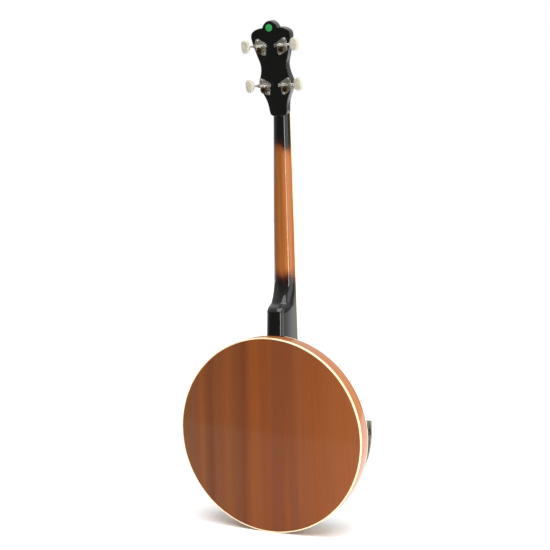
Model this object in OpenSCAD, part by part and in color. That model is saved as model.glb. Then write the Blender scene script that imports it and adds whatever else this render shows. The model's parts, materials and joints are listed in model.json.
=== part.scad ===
// Four-string tenor banjo with a resonator, standing upright on the rim of the resonator.
// It is drawn in a bench frame: x to the right as seen from the front, y from the centre of
// the pot towards the peghead, z from the back of the resonator towards the strings.
// stand() turns the bench frame upright: +Z up the neck, the strings facing -Y.

/* [Resonator] */
// Outer radius of the resonator
res_r = 170; // [166:1:176]
// Depth of the resonator's wall, from its back face to its front edge
res_depth = 33.3; // [32:0.1:33.4]
// Thickness of the back board
back_t = 5; // [3:0.5:6]
// Thickness of the wall
wall_t = 7; // [5:0.5:8]
// Width of the binding on the flat face
bind_w = 2.2; // [1.5:0.1:3]
// Depth of the back binding along the wall
bind_h = 4; // [2:0.5:5]

/* [Pot] */
// Outer radius of the wooden rim
rim_r = 139.7; // [139:0.1:139.8]
// Radial thickness of the rim
rim_t = 14; // [10:1:16]
// Height of the head's playing surface above the resonator's back
head_z = 82; // [81:0.5:83]
// Number of tension hooks, an even number
hook_n = 24; // [20:2:24]
// Radius of the circle the hooks stand on
hook_pcr = 149.6; // [149.4:0.1:150]
// Radius of a hook's rod
hook_rod_r = 1.75; // [1.5:0.05:1.8]

/* [Neck] */
// Length of the strings from nut to bridge
scale_len = 584; // [570:1:590]
// Number of frets
fret_n = 19; // [17:1:19]
// Height of the fingerboard's surface above the resonator's back
board_z = 86.2; // [86:0.1:86.5]
// Thickness of the fingerboard
board_t = 4.2; // [4:0.1:5]
// Width of the neck at the nut
nut_w = 29.6; // [29:0.1:32]
// Width of the neck where it meets the pot
heel_w = 44; // [42:0.1:44.6]
// Height of the heel's lowest face above the resonator's back
heel_z = 31; // [29:0.5:31]

/* [Peghead] */
// How far the peghead leans back
peg_tilt = 12; // [10:0.5:14]
// Thickness of the peghead with its overlay
peg_t = 15; // [13:0.5:16]
// Thickness of the overlay
overlay_t = 1.7; // [1:0.1:2]

/* [Tuners] */
// Teeth on a tuner gear
gear_teeth = 14; // [12:2:16]
// Mean radius of a tuner gear's teeth
gear_r = 5; // [4.9:0.1:5.1]
// Width of a button across the neck's direction
button_w = 14.4; // [12:0.2:15]
// Length of a button along the neck
button_l = 22.6; // [18:0.2:23]

/* [Fittings] */
// Height of the bridge
bridge_h = 12.7; // [11:0.1:14]
// Size of a hook nut across its flats
nut_af = 7.9; // [7:0.1:8]

/* [Hidden] */
$fn = 64;

// Overall placing: the armrest is the foremost thing, and the origin is mid-depth
front_z = 100;
back_y = front_z / 2;

// Colours
mahogany = [0.55, 0.29, 0.14];
cream = [0.93, 0.88, 0.74];
maple = [0.80, 0.62, 0.42];
black = [0.05, 0.05, 0.05];
rosewood = [0.22, 0.12, 0.08];
nickel = [0.78, 0.78, 0.76];
brass_c = [0.72, 0.55, 0.25];
ivory_c = [0.90, 0.88, 0.82];
film_c = [0.93, 0.92, 0.88];

// Pot
rim_z0 = 14;
rim_z1 = head_z - 6.8;
shoulder_r = 143;
flange_z = 33.5;
flange_t = 2.5;
flange_out_r = res_r - 4;
flange_gap = 17.4;
film_t = 0.4;
ring_r = 3.2;
ring_pcr = rim_r - ring_r;
collar_r = rim_r - 3.2;
flesh_r0 = rim_r + 0.7;
flesh_r1 = rim_r + 3.2;
flesh_z0 = head_z - 14;
flesh_z1 = head_z - 9.5;
hoop_r0 = flesh_r1 + 0.3;
hoop_r1 = 147;
hoop_z0 = head_z - 16;
hoop_z1 = head_z + 1.8;
hook_z = head_z + 0.6;
hook_foot_z = 20;
hook_bend_r = 2.2;
hook_gap = 9.5;
hook_step = (345 - 2 * hook_gap) / (hook_n - 2);
hook_angles = [for (side = [-1, 1], i = [0:hook_n / 2 - 1]) 90 + side * (hook_gap + i * hook_step)];
nut_l = 15;

// Thumb screws and the lugs that they hold
thumb_pcr = 157;
thumb_shank_r = 2.5;
thumb_angles = [for (side = [-1, 1], gap = [2.5, 8.5]) 90 + side * (hook_gap + gap * hook_step)];
thumb_end_z = 24.6;
thumb_head_r = 6;
thumb_head_h = 6.5;
lug_w = 16;
lug_tab_z = 27.5;
lug_tab_t = 2.5;
lug_plate_t = 2.2;
lug_foot_z = 12;
lug_in_r = 150.5;
lug_back_x = res_r - wall_t - 0.2;
lug_screw_z = [15.2, 20.6];

// Rods from the heel to the tail
rod_z = [44, 60];
rod_r = 3.5;
bolt_r = 3;
bolt_end_y = 178;
rod_tail_y = [-148, -156];

// Neck
nut_y = scale_len - 35;
bridge_y = -35;
wood_z = board_z - board_t;
neck_y0 = hoop_r1 + 1.2;
nut_t = 4.5;
board_bind_w = 1.5;
heel_top_y = 257;
heel_full_y = 210;
neck_depth_nut = 14.3;
neck_depth_heel = 16.6;
neck_end_y = nut_y + 24;
neck_sides = 18;
notch_half = 20.5;
notch_z = 25;
truss_z = 74;
truss_r = 2.5;

// Peghead: its own frame has x across, y down the back face from the top, z out of the back
peg_top_y = 704.4;
peg_top_z = 34.2;
wood_front_w = overlay_t - peg_t;
overlay_end_s = 157;
lobe = [[0, 0], [4, 0.8], [7.4, 2.8], [11.3, 6.5], [14, 11.6]];
body_side = [[14, 11.6], [20, 12], [25.5, 13.2], [31, 15.8], [35.2, 20], [36.5, 25], [36, 30.5],
             [34.2, 39.3], [28.4, 59], [24.6, 71], [24.2, 80], [26, 90], [29, 99], [30.3, 106.5],
             [29, 114.5], [25.6, 121.6], [22, 128.8], [19.1, 136], [17.4, 144], [16.4, 152]];

// Tuners: shaft places down the back face, and a tuner's own sizes
shaft_s = [40.4, 107.5];
shaft_w = 6.9;
post_x = 20;
mesh_gap = 0.3;
worm_r = 2.7;
tooth_h = 0.6;
post_ds = gear_r + worm_r + mesh_gap;
worm_pitch = 2 * PI * gear_r / gear_teeth;
shaft_r = 1.5;
plate_t = 1.2;
gear_w0 = 4.9;
gear_t = 4;
post_r = 3;
bush_r = 4.2;
button_x = 45.2;
button_t = 8;
fit = 0.05;
plate_outline = [[24.5, -12.2], [27.8, -11], [29.3, -6], [29.3, 8.6], [27.6, 10.6], [15.4, 17.2],
                 [12.2, 17], [10.4, 10.6], [10.9, 5], [8.4, 2], [8.8, -2], [11.5, -4.4]];
plate_screw_at = [[24.6, -8.4], [13.9, 14]];
tuners = [[1, 0], [-1, 0], [1, 1], [-1, 1]];

// Strings from the lowest, which is on the player's left as seen from the front
string_r = [0.38, 0.28, 0.2, 0.15];
nut_step = 8;
bridge_step = 10.5;
tail_step = 6;
slot_z = board_z + 1.1;
bridge_slot_z = head_z + bridge_h - 0.4;
string_w = -20;

// Tailpiece
tail_y = -148;
tail_pin_z = 91;
tail_pin_r = 1.2;
tail_base_z = 86.5;
tail_base_t = 1.5;
tail_front_y = -112;
tail_w = 27.6;
tail_knuckle_r = 2.6;

// Armrest
arm_from = 173.2;
arm_to = 225;
arm_clamp_angles = [181, 210.6];

module stand() { translate([0, back_y, res_r]) rotate([90, 0, 0]) children(); }
module ring(r0, r1, z0, z1) {
    translate([0, 0, z0]) difference() {
        cylinder(r = r1, h = z1 - z0);
        translate([0, 0, -1]) cylinder(r = r0, h = z1 - z0 + 2);
    }
}
module at_polar(a, r, z = 0) { rotate([0, 0, a]) translate([r, 0, z]) children(); }
module along_y(y0, y1, r) { translate([0, y0, 0]) rotate([-90, 0, 0]) cylinder(r = r, h = y1 - y0); }
module peg_frame() { translate([0, peg_top_y, peg_top_z]) rotate([180 - peg_tilt, 0, 0]) children(); }
// One tuner's frame: x outwards from its shaft's line, y along the shaft's side of the peghead
module at_tuner(t) { peg_frame() translate([0, shaft_s[t[1]], 0]) mirror([t[0] > 0 ? 0 : 1, 0, 0]) children(); }
module each_tuner() { for (t = tuners) at_tuner(t) children(); }
module hex_nut(af, h, bore) {
    difference() {
        cylinder(r = af / sqrt(3), h = h, $fn = 6);
        translate([0, 0, -1]) cylinder(r = bore, h = h + 2, $fn = 32);
    }
}

function mid(a, b, t) = a + (b - a) * t;
// A smooth curve through a list of points, with n steps between neighbours
function spline_at(p, i, t) =
    let (a = p[max(i - 1, 0)], b = p[i], c = p[i + 1], d = p[min(i + 2, len(p) - 1)])
    0.5 * (2 * b + (c - a) * t + (2 * a - 5 * b + 4 * c - d) * t * t + (3 * b - a - 3 * c + d) * t * t * t);
function spline(p, n) = [for (i = [0:len(p) - 2], k = [0:n - 1]) spline_at(p, i, k / n)];
function flip(p) = [for (i = [len(p) - 1:-1:0]) [-p[i][0], p[i][1]]];
peg_half = concat(spline(lobe, 3), spline(body_side, 3), [[16.4, 152]]);
peg_side = [for (i = [1:len(peg_half) - 1]) peg_half[i]];
function peg_outline(tail) = concat([[0, 0]], peg_side, tail, flip(concat(peg_side, tail)));

// ---- resonator ----
module resonator_back() { color(mahogany) stand() cylinder(r = res_r - bind_w, h = back_t); }
// Where the heel passes through the wall: open at the wall's front edge
module heel_notch() { translate([-notch_half, 150, notch_z]) cube([2 * notch_half, 30, 20]); }
module resonator_wall() {
    color(mahogany) stand() difference() {
        rotate_extrude() polygon([
            [res_r - wall_t, back_t], [res_r - bind_w, back_t], [res_r - bind_w, bind_h],
            [res_r, bind_h], [res_r, res_depth - 2.4], [res_r - bind_w, res_depth - 2.4],
            [res_r - bind_w, res_depth], [res_r - wall_t, res_depth]]);
        each_lug_screw() translate([0, 0, -1]) cylinder(r = 1.4, h = 6.4, $fn = 24);
        heel_notch();
    }
}
module back_binding() { color(cream) stand() ring(res_r - bind_w, res_r, 0, bind_h); }
module front_binding() {
    color(cream) stand() difference() {
        ring(res_r - bind_w, res_r, res_depth - 2.4, res_depth);
        heel_notch();
    }
}
// Frame of one lug screw: origin on the lug's face, z outwards into the wall
module each_lug_screw() {
    for (a = thumb_angles, z = lug_screw_z)
        at_polar(a, lug_back_x, z) rotate([0, 90, 0]) children();
}
module resonator_lugs() {
    color(nickel) stand() difference() {
        for (a = thumb_angles) rotate([0, 0, a]) difference() {
            union() {
                translate([lug_back_x - lug_plate_t, -lug_w / 2, lug_foot_z])
                    cube([lug_plate_t, lug_w, lug_tab_z + lug_tab_t - lug_foot_z]);
                translate([lug_in_r, -lug_w / 2, lug_tab_z])
                    cube([lug_back_x - lug_in_r, lug_w, lug_tab_t]);
            }
            translate([thumb_pcr, 0, lug_tab_z - 1])
                cylinder(r = thumb_shank_r + fit, h = lug_tab_t + 2);
        }
        each_lug_screw() translate([0, 0, -lug_plate_t - 1]) cylinder(r = 1.4, h = 6, $fn = 24);
    }
}
module lug_screws() {
    color(nickel) stand() each_lug_screw() {
        translate([0, 0, -lug_plate_t]) cylinder(r = 1.4, h = lug_plate_t + 5, $fn = 24);
        translate([0, 0, -lug_plate_t - 1.2]) cylinder(r1 = 2, r2 = 2.9, h = 1.2, $fn = 24);
    }
}

// ---- pot ----
module rim() {
    color(maple) stand() difference() {
        union() {
            ring(rim_r - rim_t, rim_r, rim_z0, rim_z1);
            ring(rim_r - 1, shoulder_r, rim_z0, flange_z - 0.1);
        }
        for (z = rod_z) translate([0, 0, z]) along_y(-150, 150, bolt_r + 0.2);
    }
}
module tone_ring() {
    color(brass_c) stand() rotate_extrude() polygon(concat(
        [[ring_pcr - ring_r, rim_z1], [ring_pcr + ring_r, rim_z1]],
        [for (a = [0:15:180]) [ring_pcr + ring_r * cos(a), rim_z1 + ring_r * (1 + sin(a))]]));
}
// The head's film: the flat it is played on, and the collar where it turns down over the rim
module head() {
    color(film_c) stand() {
        translate([0, 0, head_z - film_t]) cylinder(r = collar_r, h = film_t);
        rotate_extrude() polygon([
            [collar_r + 0.01, head_z - film_t], [rim_r - 2.3, head_z - film_t],
            [rim_r - 0.8, head_z - 0.95], [rim_r + 0.1, head_z - 2.4], [rim_r + 0.25, flesh_z0],
            [flesh_r0, flesh_z0], [flesh_r0 - 0.05, head_z - 2.2], [rim_r - 0.4, head_z - 0.5],
            [rim_r - 2.2, head_z], [collar_r + 0.01, head_z]]);
    }
}
module flesh_hoop() { color(nickel) stand() ring(flesh_r0, flesh_r1, flesh_z0, flesh_z1); }
module tension_hoop() {
    color(nickel) stand() difference() {
        rotate_extrude() polygon([
            [hoop_r0, hoop_z0], [hoop_r1, hoop_z0], [hoop_r1, hoop_z1], [flesh_r0 + 0.4, hoop_z1],
            [flesh_r0 + 0.4, flesh_z1 + 0.1], [hoop_r0, flesh_z1 + 0.1]]);
        for (a = hook_angles)
            at_polar(a, hoop_r0, hoop_z1 - 3) translate([0, -2, 0]) cube([5, 4, 4]);
    }
}
// A curved slot between two radii, centred on x, with round ends
function slot_outline(r, half_a, half_w) = concat(
    [for (k = [-4:4]) (r + half_w) * [cos(k * half_a / 4), sin(k * half_a / 4)]],
    [for (b = [30:30:150]) r * [cos(half_a), sin(half_a)]
        + half_w * [cos(half_a + b), sin(half_a + b)]],
    [for (k = [4:-1:-4]) (r - half_w) * [cos(k * half_a / 4), sin(k * half_a / 4)]],
    [for (b = [210:30:330]) r * [cos(half_a), -sin(half_a)]
        + half_w * [cos(b - half_a), sin(b - half_a)]]);
module flange() {
    color(nickel) stand() translate([0, 0, flange_z]) linear_extrude(flange_t) difference() {
        circle(r = flange_out_r, $fn = 128);
        circle(r = rim_r + 0.2, $fn = 128);
        translate([-flange_gap, 130]) square([2 * flange_gap, 40]);
        for (a = hook_angles) rotate(a) translate([hook_pcr, 0]) circle(r = hook_rod_r + 0.25);
        for (a = thumb_angles) rotate(a) translate([thumb_pcr, 0]) circle(r = thumb_shank_r + 0.1);
        for (side = [-1, 1], i = [0:hook_n / 2 - 2]) if (i != 2 && i != 8)
            rotate(90 + side * (hook_gap + (i + 0.5) * hook_step))
                polygon(slot_outline(155, 3.1, 3.6));
    }
}
module tension_hooks() {
    rod_top = hook_z - hook_bend_r;
    color(nickel) stand() for (a = hook_angles) at_polar(a, hook_pcr) {
        translate([0, 0, hook_foot_z]) cylinder(r = hook_rod_r, h = rod_top - hook_foot_z, $fn = 24);
        translate([-hook_bend_r, 0, rod_top]) rotate([90, 0, 0])
            rotate_extrude(angle = 90) translate([hook_bend_r, 0]) circle(r = hook_rod_r, $fn = 24);
        translate([-hook_bend_r, 0, hook_z]) rotate([0, -90, 0])
            cylinder(r = hook_rod_r, h = hook_pcr - hook_bend_r - hoop_r0 - 0.3, $fn = 24);
    }
}
module hook_nuts() {
    color(nickel) stand() for (a = hook_angles)
        at_polar(a, hook_pcr, flange_z - 0.1 - nut_l) hex_nut(nut_af, nut_l, hook_rod_r + fit);
}
module knurled_head(r, h) {
    linear_extrude(h) polygon([for (a = [0:5:355]) (r + 0.3 * cos(18 * a)) * [cos(a), sin(a)]]);
}
module thumb_screw(k) {
    color(nickel) stand() at_polar(thumb_angles[k], thumb_pcr) {
        translate([0, 0, thumb_end_z])
            cylinder(r = thumb_shank_r, h = flange_z + flange_t + 0.1 - thumb_end_z, $fn = 32);
        translate([0, 0, flange_z + flange_t + 0.1]) cylinder(r = 3.6, h = 1.9, $fn = 32);
        translate([0, 0, flange_z + flange_t + 1.5]) knurled_head(thumb_head_r - 0.3, thumb_head_h - 1.5);
    }
}
module coordinator_rods() {
    rim_in = rim_r - rim_t;
    color(nickel) stand() for (k = [0, 1]) translate([0, 0, rod_z[k]]) difference() {
        union() {
            along_y(-rim_in + 1.5, 108, rod_r);
            along_y(rod_tail_y[k], -rim_in + 2, bolt_r);
            along_y(104, rim_in - 0.6, 5.5);
        }
        along_y(110, rim_in + 1, bolt_r);
    }
}
module rod_nut(y, z, h, af = 10) {
    translate([0, y, z]) rotate([90, 0, 0]) hex_nut(af, h, bolt_r);
}
// The lag bolts in the heel, and the nuts and washers behind the tail
module rod_fasteners() {
    rim_y = -rim_r - 0.1;
    color(nickel) stand() {
        for (z = rod_z) {
            translate([0, 0, z]) along_y(110, bolt_end_y, bolt_r);
            translate([0, 0, z]) difference() {
                along_y(rim_y - 1.4, rim_y, 6.8);
                along_y(rim_y - 3, rim_y + 1, bolt_r);
            }
            rod_nut(rim_y - 1.45, z, 4.9);
        }
        rod_nut(rim_y - 6.4, rod_z[1], rim_y - 6.5 - tail_y);
        rod_nut(tail_y - 2.05, rod_z[1], 4.5);
    }
}

// ---- neck ----
function board_half(y) = mid(heel_w, nut_w, (y - neck_y0) / (nut_y - neck_y0)) / 2;
function half_width(y) = board_half(min(y, nut_y));
function heel_part(y) = max(0, min(1, (heel_top_y - y) / (heel_top_y - heel_full_y)));
function neck_depth(y) =
    let (slim = mid(neck_depth_heel, neck_depth_nut, max(0, (y - heel_top_y) / (nut_y - heel_top_y))))
    mid(slim, wood_z - heel_z + 0.05 * max(0, heel_full_y - y), heel_curve(heel_part(y)));
// The heel's hollow comes down gently at first, and ends in a short steep step
function ease(t) = let (u = max(0, min(1, t))) u * u * (3 - 2 * u);
function heel_curve(t) = 0.66 * pow(t, 1.35) + 0.34 * ease((t - 0.72) / 0.17);
function roundness(y) = mid(2.1, 3.4, pow(heel_part(y), 2));
function power(v, p) = sign(v) * pow(abs(v), p);
// Top of the neck's wood: level under the fingerboard, then falling with the peghead
function neck_top(y) = min(wood_z, peg_top_z + (peg_top_y - y) * tan(peg_tilt)
    - (wood_front_w + 0.5) / cos(peg_tilt));
function neck_section(y) = [for (k = [0:neck_sides]) let (a = 180 * k / neck_sides, p = 2 / roundness(y))
    [half_width(y) * power(cos(a), p), y,
     neck_top(y) - (neck_depth(min(y, nut_y)) - wood_z + neck_top(y)) * power(sin(a), p)]];
neck_stations = concat([138, 162, 186], [for (y = [heel_full_y:3.9:heel_top_y]) y],
    [for (k = [0:6]) mid(heel_top_y + 9, nut_y, k / 6)], [nut_y + 8, neck_end_y]);
module neck_shaft() {
    n = neck_sides + 1;
    rings = len(neck_stations);
    points = [for (y = neck_stations, p = neck_section(y)) p];
    sides = [for (j = [0:rings - 2], i = [0:n - 1]) let (a = j * n + i, b = j * n + (i + 1) % n)
        each [[a, b + n, b], [a, a + n, b + n]]];
    polyhedron(points, concat(sides, [[for (i = [0:n - 1]) i]],
        [[for (i = [n - 1:-1:0]) (rings - 1) * n + i]]), convexity = 4);
}
module truss_pocket() { translate([-5.5, nut_y + nut_t + 1.2, truss_z - 4.8]) cube([11, 15.5, 20]); }
module neck() {
    color(black) stand() difference() {
        union() {
            neck_shaft();
            peg_frame() translate([0, 0, wood_front_w]) linear_extrude(-wood_front_w)
                polygon(peg_outline([[15.4, 158], [12.4, 161]]));
        }
        translate([0, 0, heel_z - 6]) cylinder(r = rim_r + 0.2, h = 70, $fn = 128);
        translate([0, 0, heel_z - 6]) cylinder(r = shoulder_r + 0.4, h = flange_z + 0.4 - heel_z + 6, $fn = 128);
        translate([0, 0, hoop_z0 - 0.6]) cylinder(r = hoop_r1 + 0.6, h = 40, $fn = 128);
        translate([-30, nut_y - 20, wood_z]) cube([60, nut_t + 20.1, 20]);
        for (z = rod_z) translate([0, 0, z]) along_y(130, bolt_end_y + 1, bolt_r);
        translate([0, 0, truss_z]) along_y(170, nut_y + nut_t + 4, truss_r);
        truss_pocket();
        each_tuner() translate([post_x, post_ds, 0]) {
            translate([0, 0, -peg_t - 1]) cylinder(r = bush_r, h = peg_t + 2, $fn = 32);
        }
        each_small_screw() translate([0, 0, -8]) cylinder(r = 1.1, h = 10, $fn = 16);
    }
}
// The fingerboard's outline, inset from its sides, and grown past its ends and faces
module board_shape(inset, grow = 0) {
    y0 = neck_y0 - grow;
    y1 = nut_y - 0.05 + grow;
    translate([0, 0, wood_z - grow]) linear_extrude(board_t + 2 * grow) polygon([
        [inset - board_half(y0), y0], [board_half(y0) - inset, y0],
        [board_half(y1) - inset, y1], [inset - board_half(y1), y1]]);
}
module fingerboard() {
    color(rosewood) stand() difference() {
        board_shape(board_bind_w);
        each_dot() cylinder(r = 3, h = 4, $fn = 32);
    }
}
module fingerboard_binding() {
    color(cream) stand() difference() {
        board_shape(0);
        board_shape(board_bind_w, 1);
    }
}
function fret_y(n) = nut_y - scale_len * (1 - pow(2, -n / 12));
dots = [for (n = [5, 7, 10, 15, 17]) [0, n]];
pair = [for (x = [-8, 8]) [x, 12]];
module each_dot() {
    for (d = concat(dots, pair))
        translate([d[0], (fret_y(d[1]) + fret_y(d[1] - 1)) / 2, board_z - 1]) children();
}
module inlays() { color(ivory_c) stand() each_dot() cylinder(r = 3, h = 1, $fn = 32); }
module frets() {
    color(nickel) stand() for (n = [1:fret_n])
        translate([-half_width(fret_y(n)), fret_y(n), board_z]) rotate([90, 0, 90])
            linear_extrude(2 * half_width(fret_y(n)))
                polygon([for (a = [0:30:180]) [1.1 * cos(a), 0.9 * sin(a)]]);
}
function nut_string_x(j) = (j - 1.5) * nut_step;
function bridge_string_x(j) = (j - 1.5) * bridge_step;
module nut() {
    color(ivory_c) stand() difference() {
        translate([-nut_w / 2, nut_y, wood_z]) cube([nut_w, nut_t - 0.1, slot_z + 0.6 - wood_z]);
        for (j = [0:3]) translate([nut_string_x(j) - string_r[j] - 0.05, nut_y - 1, slot_z])
            cube([2 * string_r[j] + 0.1, nut_t + 2, 3]);
    }
}
module truss_rod() {
    color(nickel) stand() translate([0, 0, truss_z]) {
        along_y(170, nut_y + nut_t + 12, truss_r);
        translate([0, nut_y + nut_t + 13, 0]) rotate([90, 0, 0]) hex_nut(8, 9, truss_r);
    }
}
// The truss rod's cover, screwed to the overlay: a bell with its wide end at the nut
cover_outline = spline([[11, 154], [11, 146], [8, 138], [5, 131], [3.6, 127], [0, 125.4]], 4);
cover_screw_at = [[-8.4, 151], [8.4, 151], [0, 129]];
module truss_cover() {
    color(black) stand() peg_frame() translate([0, 0, -peg_t - 1.4]) linear_extrude(1.4) difference() {
        polygon(concat(cover_outline, [[0, 125.4]], flip(cover_outline)));
        for (p = cover_screw_at) translate(p) circle(r = 1.1, $fn = 16);
    }
}
// Frame of each small wood screw: origin on the wood's face, z out of the wood
module each_small_screw() {
    each_tuner() for (p = plate_screw_at) translate(p) children();
    peg_frame() for (p = cover_screw_at) translate([p[0], p[1], -peg_t]) mirror([0, 0, 1]) children();
}
module small_screws() {
    color(nickel) stand() each_small_screw() {
        translate([0, 0, -7.5]) cylinder(r = 1.1, h = 9, $fn = 16);
        translate([0, 0, plate_t + 0.25]) difference() {
            cylinder(r1 = 2.2, r2 = 1.4, h = 1.1, $fn = 24);
            translate([-3, -0.3, 0.6]) cube([6, 0.6, 1]);
        }
    }
}
module headstock_overlay() {
    color(black) stand() difference() {
        peg_frame() translate([0, 0, -peg_t]) linear_extrude(overlay_t) difference() {
            polygon(peg_outline([[15.9, overlay_end_s]]));
            for (t = tuners) translate([t[0] * post_x, shaft_s[t[1]] + post_ds]) circle(r = bush_r, $fn = 32);
            for (p = cover_screw_at) translate(p) circle(r = 1.1, $fn = 16);
        }
        truss_pocket();
    }
}

// ---- tuners ----
module tuner_plates() {
    color(nickel) stand() each_tuner() difference() {
        union() {
            linear_extrude(plate_t) polygon(plate_outline);
            for (x = [9.6, 27.2]) translate([x, -3, 0]) cube([2, 6, shaft_w + 2.6]);
        }
        translate([0, 0, shaft_w]) rotate([0, 90, 0]) cylinder(r = shaft_r + fit, h = 40, $fn = 32);
        translate([post_x, post_ds, -1]) cylinder(r = post_r + fit, h = 4, $fn = 32);
        for (p = plate_screw_at) translate([p[0], p[1], -1]) cylinder(r = 1.1, h = 4, $fn = 16);
    }
}
module post_bushings() {
    color(nickel) stand() each_tuner() translate([post_x, post_ds, -peg_t]) difference() {
        union() {
            cylinder(r = bush_r, h = 7, $fn = 32);
            translate([0, 0, -1.6]) cylinder(r1 = 4.8, r2 = 5.6, h = 1.6, $fn = 32);
        }
        translate([0, 0, -3]) cylinder(r = post_r + fit, h = 12, $fn = 32);
    }
}
module tuner_worm(k) {
    turns = 3.5;
    color(nickel) stand() at_tuner(tuners[k]) translate([0, 0, shaft_w]) {
        translate([8.6, 0, 0]) rotate([0, 90, 0]) cylinder(r = shaft_r, h = button_x + 1 - 8.6, $fn = 32);
        translate([post_x - turns / 2 * worm_pitch, 0, 0]) rotate([0, 90, 0])
            linear_extrude(turns * worm_pitch, twist = -360 * turns, slices = 38, $fn = 14)
                translate([tooth_h, 0]) circle(r = worm_r);
        translate([30, 0, 0]) rotate([0, 90, 0]) cylinder(r = 2.1, h = 3, $fn = 32);
    }
}
module tuner_button(k) {
    color(ivory_c) stand() at_tuner(tuners[k]) translate([button_x, 0, shaft_w]) difference() {
        union() {
            translate([0, 0, -button_t / 2]) linear_extrude(button_t)
                polygon([for (a = [0:10:350]) [button_w / 2 * power(cos(a), 0.62),
                                               button_l / 2 * power(sin(a), 0.62)]]);
            translate([-button_w / 2 - 2, 0, 0]) rotate([0, 90, 0]) cylinder(r = 2.6, h = 4, $fn = 32);
        }
        translate([-20, 0, 0]) rotate([0, 90, 0]) cylinder(r = shaft_r, h = 21, $fn = 32);
    }
}
module tuner_gear(k) {
    color(brass_c) stand() at_tuner(tuners[k]) translate([post_x, post_ds, gear_w0])
        linear_extrude(gear_t) difference() {
            polygon([for (a = [0:3:357]) (gear_r + tooth_h * cos(gear_teeth * (a + 90)))
                * [cos(a), sin(a)]]);
            circle(r = 1.8, $fn = 32);
        }
}
module gear_screw(k) {
    color(nickel) stand() at_tuner(tuners[k]) translate([post_x, post_ds, gear_w0 + gear_t]) {
        translate([0, 0, -3.3]) cylinder(r = 0.9, h = 4, $fn = 24);
        difference() {
            cylinder(r = 2.5, h = 1.5, $fn = 24);
            translate([-3, -0.4, 0.8]) cube([6, 0.8, 1]);
        }
    }
}
module tuner_post(k) {
    end_w = gear_w0 + gear_t;
    color(nickel) stand() at_tuner(tuners[k]) translate([post_x, post_ds, 0]) difference() {
        rotate_extrude() polygon([
            [0, -31], [2.4, -31], [post_r, -30.2], [post_r, -27], [2.2, -25], [2.2, -19],
            [post_r, -17.4], [post_r, gear_w0 - 0.2], [1.8, gear_w0 - 0.2], [1.8, end_w], [0, end_w]]);
        translate([0, 0, end_w - 3.4]) cylinder(r = 0.9, h = 5, $fn = 24);
        translate([0, -5, -22]) rotate([-90, 0, 0]) cylinder(r = 0.8, h = 10, $fn = 24);
    }
}

// ---- strings, bridge, tailpiece ----
function peg_point(x, s, w) = [x, peg_top_y - s * cos(peg_tilt) - w * sin(peg_tilt),
    peg_top_z + s * sin(peg_tilt) - w * cos(peg_tilt)];
// Outer strings go to the lower posts and inner strings to the upper ones
function string_path(j) =
    let (r = string_r[j], side = j < 2 ? -1 : 1, low = (j == 0 || j == 3) ? 1 : 0)
    [[(j - 1.5) * tail_step, tail_front_y - 0.6, tail_base_z + tail_base_t + 1 + r],
     [bridge_string_x(j), bridge_y, bridge_slot_z + r],
     [nut_string_x(j), nut_y - 0.05, slot_z + r + 0.03],
     [nut_string_x(j), nut_y + nut_t, slot_z + r + 0.03],
     peg_point(side * (post_x - post_r - 0.6), shaft_s[low] + post_ds, string_w)];
module string_tube(path, r, n = 8) {
    points = [for (p = path, k = [0:n - 1]) p + r * [cos(360 * k / n), 0, sin(360 * k / n)]];
    sides = [for (j = [0:len(path) - 2], i = [0:n - 1]) let (a = j * n + i, b = j * n + (i + 1) % n)
        each [[a, b, b + n], [a, b + n, a + n]]];
    polyhedron(points, concat(sides, [[for (i = [n - 1:-1:0]) i]],
        [[for (i = [0:n - 1]) (len(path) - 1) * n + i]]));
}
module strings() { color(nickel) stand() for (j = [0:3]) string_tube(string_path(j), string_r[j]); }
bridge_half = 32;
cap_h = 2.2;
module bridge_base() {
    color(maple) stand() translate([0, bridge_y, head_z]) difference() {
        translate([0, 3, 0]) rotate([90, 0, 0]) linear_extrude(6) difference() {
            polygon([[-bridge_half, 0], [bridge_half, 0], [bridge_half, 4], [bridge_half - 8, bridge_h - cap_h],
                     [-bridge_half + 8, bridge_h - cap_h], [-bridge_half, 4]]);
            for (x = [-15, 15]) translate([x, 0]) circle(r = 7);
            for (x = [-24.5, 24.5]) translate([x, 9]) circle(r = 1.6, $fn = 24);
        }
        for (side = [-1, 1]) translate([-50, side * 3, 0]) rotate([side * 9, 0, 0])
            translate([0, side > 0 ? 0 : -6, 0]) cube([100, 6, 20]);
    }
}
module bridge_cap() {
    color(black) stand() translate([0, bridge_y, head_z]) difference() {
        translate([-bridge_half + 8, -1, bridge_h - cap_h]) cube([2 * bridge_half - 16, 2, cap_h]);
        for (j = [0:3]) translate([bridge_string_x(j) - string_r[j] - 0.05, -2, bridge_h - 0.4])
            cube([2 * string_r[j] + 0.1, 4, 2]);
    }
}
module tail_knuckle(x0, x1, bore) {
    translate([x0, tail_y, tail_pin_z]) rotate([0, 90, 0]) difference() {
        cylinder(r = tail_knuckle_r, h = x1 - x0, $fn = 32);
        translate([0, 0, -1]) cylinder(r = bore, h = x1 - x0 + 2, $fn = 32);
    }
}
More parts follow.
